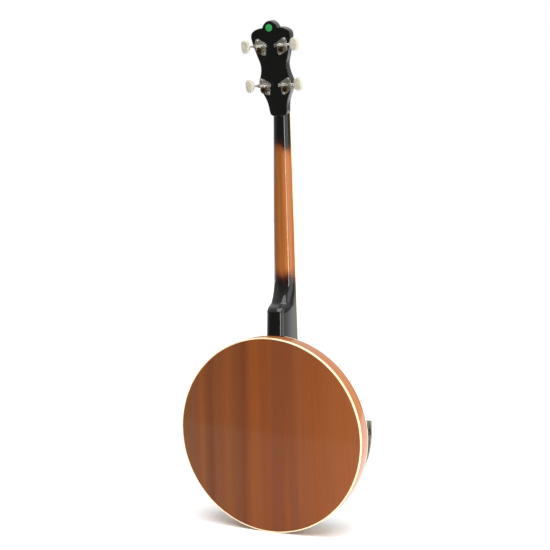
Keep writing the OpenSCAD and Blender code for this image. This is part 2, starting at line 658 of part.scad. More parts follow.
module tailpiece_frame() {
    top = tail_base_z + tail_base_t;
    color(nickel) stand() {
        difference() {
            union() {
                translate([-tail_w / 2, tail_y - 1.9, tail_base_z])
                    cube([tail_w, tail_front_y - tail_y + 1.9, tail_base_t]);
                translate([-8, tail_y - 2, rod_z[1] - 8]) cube([16, 1.5, top - rod_z[1] + 8]);
                for (x = [-13.4, 8.2]) translate([x, tail_y - 1.9, tail_base_z]) cube([5.2, 3.8, 4.5]);
                for (j = [0:3]) translate([(j - 1.5) * tail_step, tail_front_y - 2, top - 0.5])
                    cylinder(r = 1.1, h = 3.4, $fn = 24);
            }
            translate([0, 0, rod_z[1]]) along_y(tail_y - 10, tail_y + 5, bolt_r);
            translate([-20, tail_y, tail_pin_z]) rotate([0, 90, 0]) cylinder(r = tail_pin_r, h = 40, $fn = 32);
        }
        tail_knuckle(8.2, 13.4, tail_pin_r);
        tail_knuckle(-13.4, -8.2, tail_pin_r);
    }
}
module tailpiece_pin() {
    color(nickel) stand() translate([-13.4, tail_y, tail_pin_z]) rotate([0, 90, 0])
        cylinder(r = tail_pin_r, h = 26.8, $fn = 32);
}
module tailpiece_cover() {
    half = tail_w / 2 + 1.8;
    roof = tail_pin_z + 3;
    color(nickel) stand() difference() {
        union() {
            translate([-half, tail_y + 3.4, roof]) cube([2 * half, tail_front_y - tail_y, 1.3]);
            for (x = [-half, half - 1.3]) translate([x, tail_y + 3.4, tail_base_z + tail_base_t + 0.4])
                cube([1.3, tail_front_y - tail_y, roof - tail_base_z - tail_base_t]);
            translate([-7.8, tail_y - 2, roof - 1.4]) cube([15.6, 8, 2.7]);
            translate([-7.8, tail_y, tail_pin_z]) rotate([0, 90, 0]) cylinder(r = tail_knuckle_r, h = 15.6, $fn = 32);
        }
        translate([-9, tail_y, tail_pin_z]) rotate([0, 90, 0]) cylinder(r = tail_pin_r + fit, h = 18, $fn = 32);
    }
}

// ---- armrest ----
module armrest_plate() {
    color(nickel) stand() rotate([0, 0, arm_from]) rotate_extrude(angle = arm_to - arm_from, $fn = 96)
        polygon([[123, 95.6], [125, 97.6], [130, 99], [138, 99.8], [145, front_z], [150, 99.7],
                 [153.2, 98.6], [154.8, 96.6], [155.3, 94], [155.3, 90], [153.9, 90], [153.9, 94],
                 [153.6, 95.9], [152.4, 97.3], [149.7, 98.3], [145, front_z - 1.4], [138, 98.4],
                 [130.3, 97.6], [125.9, 96.3], [124.2, 94.9]]);
}
module armrest_clamps() {
    top = front_z - 2.2;
    color(nickel) stand() for (a = arm_clamp_angles) rotate([0, 0, a]) {
        translate([hoop_r1 + 0.3, -5, hoop_z0 - 1.8]) cube([1.5, 10, top - hoop_z0 + 1.8]);
        translate([hoop_r0 + 0.6, -5, hoop_z0 - 1.8]) cube([5, 10, 1.5]);
        translate([137, -5, top - 1.5]) cube([hoop_r1 - 135.2, 10, 1.5]);
        translate([142, 0, top - 0.5]) cylinder(r = 1.6, h = 1.2, $fn = 24);
    }
}

resonator_back();
resonator_wall();
back_binding();
front_binding();
resonator_lugs();
lug_screws();
rim();
tone_ring();
head();
flesh_hoop();
tension_hoop();
flange();
tension_hooks();
hook_nuts();
coordinator_rods();
rod_fasteners();
neck();
fingerboard();
fingerboard_binding();
frets();
inlays();
nut();
truss_rod();
truss_cover();
small_screws();
headstock_overlay();
tuner_plates();
post_bushings();
strings();
bridge_base();
bridge_cap();
tailpiece_frame();
tailpiece_cover();
tailpiece_pin();
armrest_plate();
armrest_clamps();
for (k = [0:3]) {
    thumb_screw(k);
    tuner_worm(k);
    tuner_button(k);
    tuner_gear(k);
    gear_screw(k);
    tuner_post(k);
}
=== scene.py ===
"""Tenor banjo with a resonator: the looks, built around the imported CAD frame."""
import json
import math

import bmesh
import bpy
import numpy as np
from mathutils import Matrix, Vector


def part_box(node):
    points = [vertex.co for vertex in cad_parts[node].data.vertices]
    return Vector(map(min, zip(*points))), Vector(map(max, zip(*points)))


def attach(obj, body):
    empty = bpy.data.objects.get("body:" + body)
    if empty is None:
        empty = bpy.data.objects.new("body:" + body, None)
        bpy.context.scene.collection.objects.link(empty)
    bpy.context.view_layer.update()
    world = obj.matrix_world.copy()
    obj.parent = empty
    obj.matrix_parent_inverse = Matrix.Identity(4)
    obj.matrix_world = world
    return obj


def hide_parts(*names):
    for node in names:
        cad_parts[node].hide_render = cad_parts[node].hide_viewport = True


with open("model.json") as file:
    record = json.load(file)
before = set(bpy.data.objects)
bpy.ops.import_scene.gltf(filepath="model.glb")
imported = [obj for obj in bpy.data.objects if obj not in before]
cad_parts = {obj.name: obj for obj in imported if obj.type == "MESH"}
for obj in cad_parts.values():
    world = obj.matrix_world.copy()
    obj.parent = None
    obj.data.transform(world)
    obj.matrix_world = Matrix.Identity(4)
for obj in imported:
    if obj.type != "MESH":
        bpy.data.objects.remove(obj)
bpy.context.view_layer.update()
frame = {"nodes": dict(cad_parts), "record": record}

MM = 0.001
wall_lo, wall_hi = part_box("resonator_wall")
BACK_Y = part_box("resonator_back")[1].y / MM   # the resonator's back plane
RES_R = round((wall_hi.x - wall_lo.x) / MM) / 2
AXIS_Z = RES_R                                # height of the pot's axis
BODY = "pot_and_neck"
WELD = 1e-7                                   # points closer than this, in metres, become one


# ---------------------------------------------------------------- frames and shapes
# The bench frame, in millimetres: x to the right seen from the front, y from the pot's axis to the
# peghead, z from the resonator's back towards the strings. Shapes are drawn there and stood upright.
def stand(points):
    p = np.asarray(points, float)
    return np.stack([p[:, 0], BACK_Y - p[:, 2], AXIS_Z + p[:, 1]], 1) * MM


PEG_TILT = math.radians(12)
PEG_TOP = np.array([0, 704.4, 34.2])          # the top of the peghead's back face, in the bench frame


def peg(points):
    """Peghead frame (x, s down the back face from its top, w out of the back) to the bench frame."""
    p = np.asarray(points, float)
    c, s = math.cos(PEG_TILT), math.sin(PEG_TILT)
    return np.stack([p[:, 0], PEG_TOP[1] - p[:, 1] * c - p[:, 2] * s,
                     PEG_TOP[2] + p[:, 1] * s - p[:, 2] * c], 1)


def make(name, verts, faces, material, body, replaces=(), slot=None, sharp=40):
    """A mesh that rides on a body of the frame, and may stand in for some of its nodes."""
    mesh = bpy.data.meshes.new(name)
    mesh.from_pydata([tuple(v) for v in verts], [], faces)
    bm = bmesh.new()
    bm.from_mesh(mesh)
    bmesh.ops.remove_doubles(bm, verts=bm.verts, dist=WELD)
    bmesh.ops.recalc_face_normals(bm, faces=bm.faces)
    bm.to_mesh(mesh)
    bm.free()
    obj = bpy.data.objects.new(name, mesh)
    bpy.context.scene.collection.objects.link(obj)
    mesh.materials.append(material)
    smooth(mesh, sharp)
    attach(obj, body)
    if replaces:
        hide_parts(*replaces)
    return obj


def smooth(mesh, sharp):
    """Shades a mesh smooth, except at edges that turn by more than sharp degrees."""
    mesh.polygons.foreach_set("use_smooth", [True] * len(mesh.polygons))
    mesh.set_sharp_from_angle(angle=math.radians(sharp))
    mesh.update()


def fillet(points, radius, steps=4):
    """A closed outline with its corners rounded. radius is one number, or one for each corner."""
    out, n = [], len(points)
    radii = radius if hasattr(radius, "__len__") else [radius] * n
    for i in range(n):
        p = np.array(points[i], float)
        a = np.array(points[i - 1], float) - p
        b = np.array(points[(i + 1) % n], float) - p
        la, lb = np.linalg.norm(a), np.linalg.norm(b)
        if radii[i] <= 0 or la < 1e-9 or lb < 1e-9:
            out.append(p)
            continue
        cut = min(radii[i], la * 0.45, lb * 0.45)
        start, end = p + a / la * cut, p + b / lb * cut
        for k in range(steps + 1):
            t = k / steps
            out.append(start * (1 - t) ** 2 + p * 2 * t * (1 - t) + end * t * t)
    return out


def lathe(name, profile, material, body, segments=240, **kw):
    """A closed (r, z) profile turned all the way round the pot's axis."""
    angles = np.linspace(0, 360, segments, endpoint=False)
    n = len(profile)
    verts = [(r * math.cos(math.radians(a)), r * math.sin(math.radians(a)), z)
             for a in angles for r, z in profile]
    faces = []
    for j in range(segments):
        k = (j + 1) % segments
        for i in range(n):
            m = (i + 1) % n
            if profile[i][0] < 1e-6 and profile[m][0] < 1e-6:
                continue
            faces.append((j * n + i, j * n + m, k * n + m, k * n + i))
    return make(name, stand(verts), faces, material, body, **kw)


def lofted(name, rings, material, body, place=stand, **kw):
    """Rings of the same number of points joined in turn, with both ends closed."""
    n = len(rings[0])
    verts = [p for ring in rings for p in ring]
    faces = [(j * n + i, j * n + (i + 1) % n, (j + 1) * n + (i + 1) % n, (j + 1) * n + i)
             for j in range(len(rings) - 1) for i in range(n)]
    faces += [tuple(range(n - 1, -1, -1)), tuple((len(rings) - 1) * n + i for i in range(n))]
    return make(name, place(verts), faces, material, body, **kw)


def slab(name, outline, z0, z1, edge, material, body, place=stand, steps=4, **kw):
    """An outline raised from z0 to z1 with rounded top and bottom edges, by insetting its rings."""
    pts = np.array(outline, float)
    nxt, prv = np.roll(pts, -1, 0), np.roll(pts, 1, 0)
    tangent = nxt - prv
    tangent /= np.linalg.norm(tangent, axis=1)[:, None] + 1e-12
    inward = np.stack([-tangent[:, 1], tangent[:, 0]], 1)
    area = 0.5 * np.sum(pts[:, 0] * nxt[:, 1] - nxt[:, 0] * pts[:, 1])
    if area < 0:
        inward = -inward
    quarter = [math.pi / 2 * k / steps for k in range(steps + 1)]
    levels = [(edge * (1 - math.sin(a)), z0 + edge * (1 - math.cos(a))) for a in quarter]
    levels += [(edge * (1 - math.cos(a)), z1 - edge * (1 - math.sin(a))) for a in quarter]
    rings = [[(*(p + inward[i] * inset), z) for i, p in enumerate(pts)] for inset, z in levels]
    return lofted(name, rings, material, body, place=place, **kw)


def spline(points, steps):
    """A smooth curve through points, as in the CAD, with its last point left out."""
    p = [np.array(q, float) for q in points]
    out = []
    for i in range(len(p) - 1):
        a, b, c, d = p[max(i - 1, 0)], p[i], p[i + 1], p[min(i + 2, len(p) - 1)]
        for k in range(steps):
            t = k / steps
            out.append(0.5 * (2 * b + (c - a) * t + (2 * a - 5 * b + 4 * c - d) * t * t
                              + (3 * b - a - 3 * c + d) * t ** 3))
    return out


def mirrored(half):
    """A whole outline from its right half, which starts on the centre line."""
    half = [tuple(p) for p in half]
    return half + [(-x, y) for x, y in reversed(half) if abs(x) > 1e-6]


def mix(a, b, t):
    """The value a share t of the way from a to b."""
    return a + (b - a) * t


def signed_power(v, p):
    """v to the power p, with its sign kept."""
    return math.copysign(abs(v) ** p, v)


# ---------------------------------------------------------------- materials
class Nodes:
    """A few short calls for building a material's node tree."""

    def __init__(self, name):
        self.mat = bpy.data.materials.new(name)
        self.mat.use_nodes = True
        self.tree = self.mat.node_tree
        self.tree.nodes.clear()
        self.out = self.tree.nodes.new("ShaderNodeOutputMaterial")
        self.bsdf = self.add("ShaderNodeBsdfPrincipled")
        self.link(self.bsdf.outputs["BSDF"], self.out.inputs["Surface"])
        self.coords = self.add("ShaderNodeTexCoord").outputs["Object"]

    def add(self, kind, **values):
        node = self.tree.nodes.new(kind)
        for key, value in values.items():
            if hasattr(node, key):
                setattr(node, key, value)
            else:
                node.inputs[key.replace("_", " ")].default_value = value
        return node

    def link(self, a, b):
        self.tree.links.new(a, b)

    def feed(self, node, index, value):
        if isinstance(value, bpy.types.NodeSocket):
            self.link(value, node.inputs[index])
        else:
            node.inputs[index].default_value = value

    def scaled(self, scale, vector=None, move=(0, 0, 0)):
        node = self.add("ShaderNodeMapping")
        self.link(vector or self.coords, node.inputs["Vector"])
        node.inputs["Scale"].default_value = scale
        node.inputs["Location"].default_value = move
        return node.outputs["Vector"]

    def noise(self, vector, scale=1.0, detail=2.0, rough=0.5, bend=0.0):
        node = self.add("ShaderNodeTexNoise")
        self.link(vector, node.inputs["Vector"])
        values = (("Scale", scale), ("Detail", detail), ("Roughness", rough), ("Distortion", bend))
        for key, value in values:
            node.inputs[key].default_value = value
        return node.outputs["Fac"]

    def cells(self, vector):
        """The distance from the nearest of many scattered points."""
        node = self.add("ShaderNodeTexVoronoi")
        self.link(vector, node.inputs["Vector"])
        node.inputs["Scale"].default_value = 1.0
        return node.outputs["Distance"]

    def ramp(self, value, stops):
        """Colours set at places along a value from 0 to 1, blended between them."""
        node = self.add("ShaderNodeValToRGB")
        elements = node.color_ramp.elements
        while len(elements) < len(stops):
            elements.new(0.5)
        for element, (at, colour) in zip(elements, stops):
            element.position = at
            element.color = (*colour, 1)
        self.link(value, node.inputs["Fac"])
        return node.outputs["Color"]

    def fit(self, value, a, b, c=0.0, d=1.0, kind="LINEAR"):
        """A value that runs from a to b, made to run from c to d and clamped there."""
        node = self.add("ShaderNodeMapRange", interpolation_type=kind)
        self.link(value, node.inputs["Value"])
        for key, number in (("From Min", a), ("From Max", b), ("To Min", c), ("To Max", d)):
            node.inputs[key].default_value = number
        return node.outputs["Result"]

    def math(self, op, a, b=0.0):
        node = self.add("ShaderNodeMath", operation=op)
        self.feed(node, 0, a)
        self.feed(node, 1, b)
        return node.outputs["Value"]

    def mix(self, fac, a, b):
        node = self.add("ShaderNodeMix", data_type="RGBA")
        for index, value in ((0, fac), (6, a), (7, b)):
            if not isinstance(value, bpy.types.NodeSocket) and hasattr(value, "__len__"):
                value = (*value, 1)[:4]
            self.feed(node, index, value)
        return node.outputs[2]

    def axis(self, which):
        node = self.add("ShaderNodeSeparateXYZ")
        self.link(self.coords, node.inputs[0])
        return node.outputs[which]

    def bump(self, height, strength, depth):
        node = self.add("ShaderNodeBump")
        node.inputs["Strength"].default_value = strength
        node.inputs["Distance"].default_value = depth
        self.link(height, node.inputs["Height"])
        self.link(node.outputs["Normal"], self.bsdf.inputs["Normal"])

    def set(self, colour, rough, metal, **sockets):
        """Feeds the surface, and sets any other of its sockets by name. Gives the material."""
        for key, value in (("Base Color", colour), ("Roughness", rough), ("Metallic", metal)):
            if isinstance(value, bpy.types.NodeSocket):
                self.link(value, self.bsdf.inputs[key])
            else:
                self.bsdf.inputs[key].default_value = (*value, 1) if hasattr(value, "__len__") else value
        for key, value in sockets.items():
            self.bsdf.inputs[key.replace("_", " ")].default_value = value
        return self.mat


def srgb(r, g, b):
    """A colour given as 0 to 255 display values."""
    def one(v):
        v /= 255
        return v / 12.92 if v <= 0.04045 else ((v + 0.055) / 1.055) ** 2.4
    return tuple(one(v) for v in (r, g, b))


def mahogany_back():
    """Ribbon-striped mahogany veneer, grain along the neck's line, under a clear gloss lacquer."""
    m = Nodes("mahogany_back")
    drift = m.noise(m.scaled((5, 5, 1.6)), 1.0, 1.0)
    side = m.fit(m.math("ADD", m.axis(0), m.fit(drift, 0.3, 0.7, -0.006, 0.006)), -RES_R * MM, RES_R * MM)
    base = m.ramp(side, [(0.0, srgb(148, 84, 44)), (0.12, srgb(146, 82, 40)), (0.24, srgb(139, 75, 33)),
                         (0.34, srgb(133, 76, 43)), (0.46, srgb(118, 66, 38)), (0.5, srgb(139, 76, 32)),
                         (0.59, srgb(137, 74, 32)), (0.63, srgb(108, 58, 29)), (0.7, srgb(124, 72, 40)),
                         (0.79, srgb(121, 69, 39)), (0.815, srgb(101, 55, 31)), (0.86, srgb(119, 73, 42)),
                         (1.0, srgb(120, 74, 44))])
    bent = m.add("ShaderNodeVectorMath", operation="ADD")
    m.link(m.coords, bent.inputs[0])
    shift = m.add("ShaderNodeCombineXYZ")
    m.link(m.fit(drift, 0.3, 0.7, -0.005, 0.005), shift.inputs[0])
    m.link(shift.outputs[0], bent.inputs[1])
    grain = bent.outputs[0]
    broad = m.noise(m.scaled((30, 1, 0.55), grain, (3.1, 0, 0.4)), 1.0, 2.0, 0.55)
    base = m.mix(m.fit(broad, 0.5, 0.68, 0, 0.5, "SMOOTHSTEP"), base, srgb(116, 60, 30))
    warm = m.noise(m.scaled((38, 1, 0.7), grain, (9.7, 0, 2.0)), 1.0, 1.5)
    base = m.mix(m.fit(warm, 0.52, 0.7, 0, 0.45, "SMOOTHSTEP"), base, srgb(148, 80, 33))
    rosy = m.noise(m.scaled((24, 1, 0.6), grain, (21.3, 0, 7.0)), 1.0, 1.0)
    base = m.mix(m.fit(rosy, 0.52, 0.68, 0, 0.35, "SMOOTHSTEP"), base, srgb(130, 76, 48))
    streak = m.noise(m.scaled((260, 1, 3.0), grain), 1.0, 3.0, 0.6)
    base = m.mix(m.fit(streak, 0.3, 0.75, 0.0, 0.26), base, srgb(112, 56, 27))
    fine = m.noise(m.scaled((1500, 1, 20), grain), 1.0, 3.0, 0.7)
    base = m.mix(m.fit(fine, 0.35, 0.7, 0.3, 0.0), base, srgb(96, 46, 22))
    pores = m.cells(m.scaled((1400, 300, 95), grain))
    pore = m.fit(pores, 0.10, 0.24, 1.0, 0.0)
    pick = m.fit(m.noise(m.scaled((300, 1, 22), grain), 1.0, 2.0), 0.45, 0.62)
    pore = m.math("MULTIPLY", pore, pick)
    base = m.mix(m.math("MULTIPLY", pore, 0.62), base, srgb(70, 32, 16))
    rough = m.fit(streak, 0.3, 0.7, 0.34, 0.5)
    m.bump(m.math("ADD", fine, m.math("MULTIPLY", pore, -1.5)), 0.1, 0.00006)
    return m.set(base, rough, 0.0, Coat_Weight=0.18, Coat_Roughness=0.06, Coat_IOR=1.45,
                 Specular_IOR_Level=0.08)


def mahogany_wall():
    """The resonator's bent wall: the same wood, grain running round the wall."""
    m = Nodes("mahogany_wall")
    x, z = m.axis(0), m.math("SUBTRACT", m.axis(2), AXIS_Z * MM)
    turn = m.math("ARCTAN2", z, x)
    along = m.add("ShaderNodeCombineXYZ")
    m.link(m.math("MULTIPLY", turn, RES_R * MM), along.inputs[0])
    m.link(m.axis(1), along.inputs[1])
    flow = along.outputs[0]
    broad = m.noise(m.scaled((2.2, 75, 1), flow), 1.0, 2.0)
    base = m.ramp(broad, [(0.3, srgb(150, 84, 40)), (0.5, srgb(174, 104, 52)), (0.7, srgb(188, 118, 62))])
    streak = m.noise(m.scaled((5, 900, 1), flow), 1.0, 3.0, 0.6)
    base = m.mix(m.fit(streak, 0.35, 0.75, 0, 0.4), base, srgb(130, 70, 32))
    pores = m.cells(m.scaled((110, 1500, 1), flow))
    pore = m.fit(pores, 0.1, 0.24, 1.0, 0.0)
    base = m.mix(m.math("MULTIPLY", pore, 0.4), base, srgb(104, 52, 26))
    m.bump(streak, 0.08, 0.00006)
    return m.set(base, m.fit(streak, 0.3, 0.7, 0.26, 0.38), 0.0, Coat_Weight=0.85,
                 Coat_Roughness=0.06, Coat_IOR=1.5, Specular_IOR_Level=0.1)


def binding():
    """Cream plastic binding."""
    m = Nodes("cream_binding")
    tone = m.noise(m.scaled((40, 40, 40)), 1.0, 2.0)
    base = m.ramp(tone, [(0.35, srgb(240, 216, 168)), (0.65, srgb(252, 234, 196))])
    fine = m.noise(m.scaled((700, 700, 700)), 1.0, 2.0)
    m.bump(fine, 0.04, 0.00005)
    return m.set(base, m.fit(tone, 0.3, 0.7, 0.22, 0.32), 0.0, Coat_Weight=0.5, Coat_Roughness=0.08,
                 Subsurface_Weight=0.1, Subsurface_Radius=(0.004, 0.003, 0.002))


def neck_lacquer(burst_low, burst_full_low, burst_full_high, burst_high):
    """Sunburst: black at the heel and the peghead, amber between, under a deep gloss lacquer."""
    m = Nodes("neck_sunburst")
    streak = m.noise(m.scaled((520, 520, 5)), 1.0, 3.0, 0.6)
    broad = m.noise(m.scaled((46, 46, 1.3), None, (2.0, 5.0, 0.0)), 1.0, 2.0)
    amber = m.ramp(broad, [(0.32, srgb(142, 80, 33)), (0.5, srgb(164, 97, 44)), (0.68, srgb(184, 112, 52))])
    amber = m.mix(m.fit(streak, 0.38, 0.72, 0, 0.5), amber, srgb(124, 62, 24))
    pores = m.fit(m.cells(m.scaled((1500, 1500, 110))), 0.1, 0.22, 0.5, 0.0)
    amber = m.mix(pores, amber, srgb(84, 42, 18))
    z = m.math("ADD", m.axis(2), m.fit(m.noise(m.scaled((60, 60, 14)), 1.0, 2.0), 0.3, 0.7, -0.008, 0.008))
    low = m.fit(z, burst_low, burst_full_low, 0, 1, "SMOOTHERSTEP")
    high = m.fit(z, burst_full_high, burst_high, 1, 0, "SMOOTHERSTEP")
    glow = m.math("MULTIPLY", low, high)
    dusk = m.mix(m.fit(glow, 0.0, 0.6), srgb(8, 9, 6), srgb(92, 38, 16))
    base = m.mix(m.fit(glow, 0.25, 0.95), dusk, amber)
    m.bump(streak, 0.03, 0.00005)
    return m.set(base, 0.3, 0.0, Coat_Weight=1.0, Coat_Roughness=0.03, Coat_IOR=1.45, Specular_IOR_Level=0.05)


def black_lacquer():
    """The peghead's face: black, under gloss lacquer."""
    m = Nodes("black_lacquer")
    cloud = m.noise(m.scaled((26, 26, 26)), 1.0, 3.0)
    base = m.ramp(cloud, [(0.3, srgb(8, 9, 7)), (0.7, srgb(16, 16, 13))])
    fine = m.noise(m.scaled((260, 260, 260)), 1.0, 2.0)
    m.bump(fine, 0.015, 0.00005)
    return m.set(base, m.fit(cloud, 0.3, 0.7, 0.16, 0.26), 0.0, Coat_Weight=0.8, Coat_Roughness=0.05,
                 Specular_IOR_Level=0.1)


def plated(name="nickel_plate", tint=(202, 198, 189), rough=(0.14, 0.28)):
    """Nickel plate: warm grey, with faint polishing swirls and handling haze."""
    m = Nodes(name)
    haze = m.noise(m.scaled((55, 55, 55)), 1.0, 4.0, 0.6)
    scratch = m.noise(m.scaled((2500, 160, 160)), 1.0, 2.0)
    low = tuple(v - 48 for v in tint)
    base = m.ramp(haze, [(0.3, srgb(*low)), (0.6, srgb(*tint))])
    m.bump(scratch, 0.04, 0.00002)
    return m.set(base, m.fit(haze, 0.3, 0.7, *rough), 0.82)


def brass(name="gear_brass", tint=(132, 106, 66), dull=(78, 58, 36), rough=(0.22, 0.42)):
    """Bare brass, duller and rougher where it has tarnished."""
    m = Nodes(name)
    tarnish = m.noise(m.scaled((240, 240, 240)), 1.0, 4.0, 0.6)
    base = m.ramp(tarnish, [(0.32, srgb(*dull)), (0.6, srgb(*tint))])
    m.bump(m.noise(m.scaled((1800, 1800, 1800)), 1.0, 2.0), 0.05, 0.00003)
    return m.set(base, m.fit(tarnish, 0.3, 0.7, rough[1], rough[0]), 1.0)


def steel(name="steel", tint=(150, 150, 152), rough=(0.28, 0.42)):
    """Brushed steel with a little grime."""
    m = Nodes(name)
    grime = m.noise(m.scaled((120, 120, 120)), 1.0, 3.0)
    brushed = m.noise(m.scaled((200, 2600, 200)), 1.0, 2.0)
    base = m.ramp(grime, [(0.3, srgb(*(v - 40 for v in tint))), (0.65, srgb(*tint))])
    m.bump(brushed, 0.06, 0.00003)
    return m.set(base, m.fit(grime, 0.3, 0.7, *rough), 1.0)


PLY_T = 0.0047            # thickness of one of the rim's plies, in metres


def plies():
    """The rim: bent maple plies, seen as thin rings on its edges and long grain on its faces."""
    m = Nodes("rim_maple")
    x, z = m.axis(0), m.math("SUBTRACT", m.axis(2), AXIS_Z * MM)
    radius = m.math("SQRT", m.math("ADD", m.math("MULTIPLY", x, x), m.math("MULTIPLY", z, z)))
    turn = m.math("ARCTAN2", z, x)
    along = m.add("ShaderNodeCombineXYZ")
    m.link(m.math("MULTIPLY", turn, RES_R * MM), along.inputs[0])
    m.link(m.axis(1), along.inputs[1])
    m.link(radius, along.inputs[2])
    flow = along.outputs[0]
    figure = m.noise(m.scaled((12, 60, 60), flow), 1.0, 3.0)
    base = m.ramp(figure, [(0.3, srgb(196, 152, 98)), (0.6, srgb(222, 182, 128))])
    streak = m.noise(m.scaled((10, 1200, 1200), flow), 1.0, 3.0, 0.6)
    base = m.mix(m.fit(streak, 0.4, 0.75, 0, 0.35), base, srgb(164, 116, 68))
    ply = m.math("FRACT", m.math("MULTIPLY", radius, 1 / PLY_T))
    line = m.math("GREATER_THAN", ply, 0.93)
    base = m.mix(m.math("MULTIPLY", line, 0.55), base, srgb(112, 72, 40))
    m.bump(streak, 0.06, 0.00005)
    return m.set(base, m.fit(streak, 0.3, 0.7, 0.3, 0.45), 0.0, Coat_Weight=0.3, Coat_Roughness=0.15)


def dark_wood(name, light, dark, grain_scale=(420, 420, 9)):
    """Rosewood or ebony: open pores and dark streaks, with only a little shine."""
    m = Nodes(name)
    broad = m.noise(m.scaled((90, 90, 2.5)), 1.0, 3.0)
    base = m.ramp(broad, [(0.3, srgb(*dark)), (0.68, srgb(*light))])
    streak = m.noise(m.scaled(grain_scale), 1.0, 4.0, 0.65)
    base = m.mix(m.fit(streak, 0.4, 0.75, 0, 0.6), base, srgb(*(v * 0.5 for v in dark)))
    pores = m.fit(m.cells(m.scaled((1600, 1600, 130))), 0.1, 0.24, 0.7, 0.0)
    base = m.mix(pores, base, srgb(16, 9, 6))
    m.bump(m.math("SUBTRACT", streak, pores), 0.16, 0.00008)
    return m.set(base, m.fit(streak, 0.3, 0.7, 0.38, 0.58), 0.0, Specular_IOR_Level=0.4)


def skin():
    """The head: coated polyester film, white with a faint sandy frosting."""
    m = Nodes("head_skin")
    cloud = m.noise(m.scaled((14, 14, 14)), 1.0, 3.0)
    base = m.ramp(cloud, [(0.3, srgb(226, 223, 214)), (0.7, srgb(238, 236, 229))])
    sand = m.noise(m.scaled((2200, 2200, 2200)), 1.0, 2.0)
    m.bump(sand, 0.25, 0.00006)
    return m.set(base, m.fit(sand, 0.3, 0.7, 0.5, 0.7), 0.0, Subsurface_Weight=0.15,
                 Subsurface_Radius=(0.003, 0.003, 0.002))


def pearloid(name="button_plastic", light=(212, 208, 192), dark=(190, 184, 166), scale=90):
    """Off-white plastic with soft pearl clouds."""
    m = Nodes(name)
    cloud = m.noise(m.scaled((scale, scale, scale)), 1.0, 3.0, 0.6, 1.2)
    base = m.ramp(cloud, [(0.3, srgb(*dark)), (0.62, srgb(*light))])
    m.bump(m.noise(m.scaled((500, 500, 500)), 1.0, 2.0), 0.03, 0.00004)
    return m.set(base, m.fit(cloud, 0.3, 0.7, 0.3, 0.2), 0.0, Coat_Weight=0.3, Coat_Roughness=0.1,
                 Subsurface_Weight=0.2, Subsurface_Radius=(0.005, 0.004, 0.003))


def bone():
    """The nut's bone."""
    m = Nodes("bone")
    streak = m.noise(m.scaled((30, 400, 400)), 1.0, 3.0)
    base = m.ramp(streak, [(0.35, srgb(224, 211, 180)), (0.65, srgb(240, 231, 206))])
    m.bump(streak, 0.05, 0.00004)
    return m.set(base, 0.34, 0.0, Subsurface_Weight=0.15, Subsurface_Radius=(0.003, 0.002, 0.0015))


def label_green():
    """The plain green of the round label."""
    m = Nodes("green_label")
    blot = m.noise(m.scaled((420, 420, 420)), 1.0, 3.0)
    base = m.ramp(blot, [(0.35, srgb(30, 146, 70)), (0.65, srgb(52, 172, 92))])
    m.bump(blot, 0.05, 0.00004)
    return m.set(base, 0.4, 0.0, Coat_Weight=0.2, Coat_Roughness=0.2)


def string_steel():
    """Bright plain steel wire."""
    m = Nodes("string_steel")
    haze = m.noise(m.scaled((300, 300, 20)), 1.0, 2.0)
    base = m.ramp(haze, [(0.3, srgb(150, 148, 142)), (0.7, srgb(198, 196, 190))])
    m.bump(haze, 0.02, 0.00002)
    return m.set(base, 0.26, 1.0)


# Heights, in metres, between which the neck's finish turns from black to amber and back
BURST = (0.418, 0.465, 0.643, 0.684)

MAT = {
    "mahogany_back": mahogany_back(), "mahogany_wall": mahogany_wall(), "cream_binding": binding(),
    "neck_lacquer": neck_lacquer(*BURST), "black_lacquer": black_lacquer(), "nickel_plate": plated(),
    "bell_brass": brass("bell_brass", (206, 168, 98), (168, 128, 66), (0.12, 0.24)),
    "gear_brass": brass(), "steel": steel(), "dark_steel": steel("dark_steel", (74, 66, 58), (0.3, 0.5)),
    "maple": plies(), "rosewood": dark_wood("rosewood", (84, 46, 30), (46, 25, 17)),
    "ebony": dark_wood("ebony", (38, 32, 29), (20, 17, 16), (9, 420, 420)),
    "head_skin": skin(), "pearl": pearloid("pearl", (240, 238, 230), (198, 200, 196), 260), "bone": bone(),
    "button_plastic": pearloid(), "string_steel": string_steel(), "label_green": label_green(),
}
# The bevel's width in metres, its largest share of a thickness, and the turn in degrees that gets it
EDGE_W, EDGE_SHARE, EDGE_ANGLE = 0.00025, 0.08, 35


def finish_cad_nodes():
    """Every CAD node gets its slot's finish, and a small bevel so that its edges catch the light."""
    slots = {s["node"]: s["material_slot"] for s in frame["record"]["subparts"]}
    for name, obj in frame["nodes"].items():
        obj.data.materials.clear()
        obj.data.materials.append(MAT[slots[name]])
        lo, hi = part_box(name)
        thin = min(hi - lo)
        weld = obj.modifiers.new("weld", "WELD")
        weld.merge_threshold = 1e-6
        edge = obj.modifiers.new("edge", "BEVEL")
        edge.width = min(EDGE_W, thin * EDGE_SHARE)
        edge.segments = 2
        edge.limit_method = "ANGLE"
        edge.angle_limit = math.radians(EDGE_ANGLE)
        edge.harden_normals = False
        edge.use_clamp_overlap = True
        obj.data.polygons.foreach_set("use_smooth", [True] * len(obj.data.polygons))
        obj.data.set_sharp_from_angle(angle=math.radians(EDGE_ANGLE))


# ---------------------------------------------------------------- resonator
BIND_W, BIND_H, MOUTH_BIND_H = 2.2, 4.0, 2.4
WALL_DEPTH, WALL_T, BACK_T = 33.3, 7.0, 5.0
BOARD_GAP, WALL_GAP = 0.02, 0.05          # how far the wood's faces stay short of their neighbours'
NOTCH = ((-20.5, 20.5), (150, 180), (25, 45))     # the heel's notch in the wall, in x, y and z


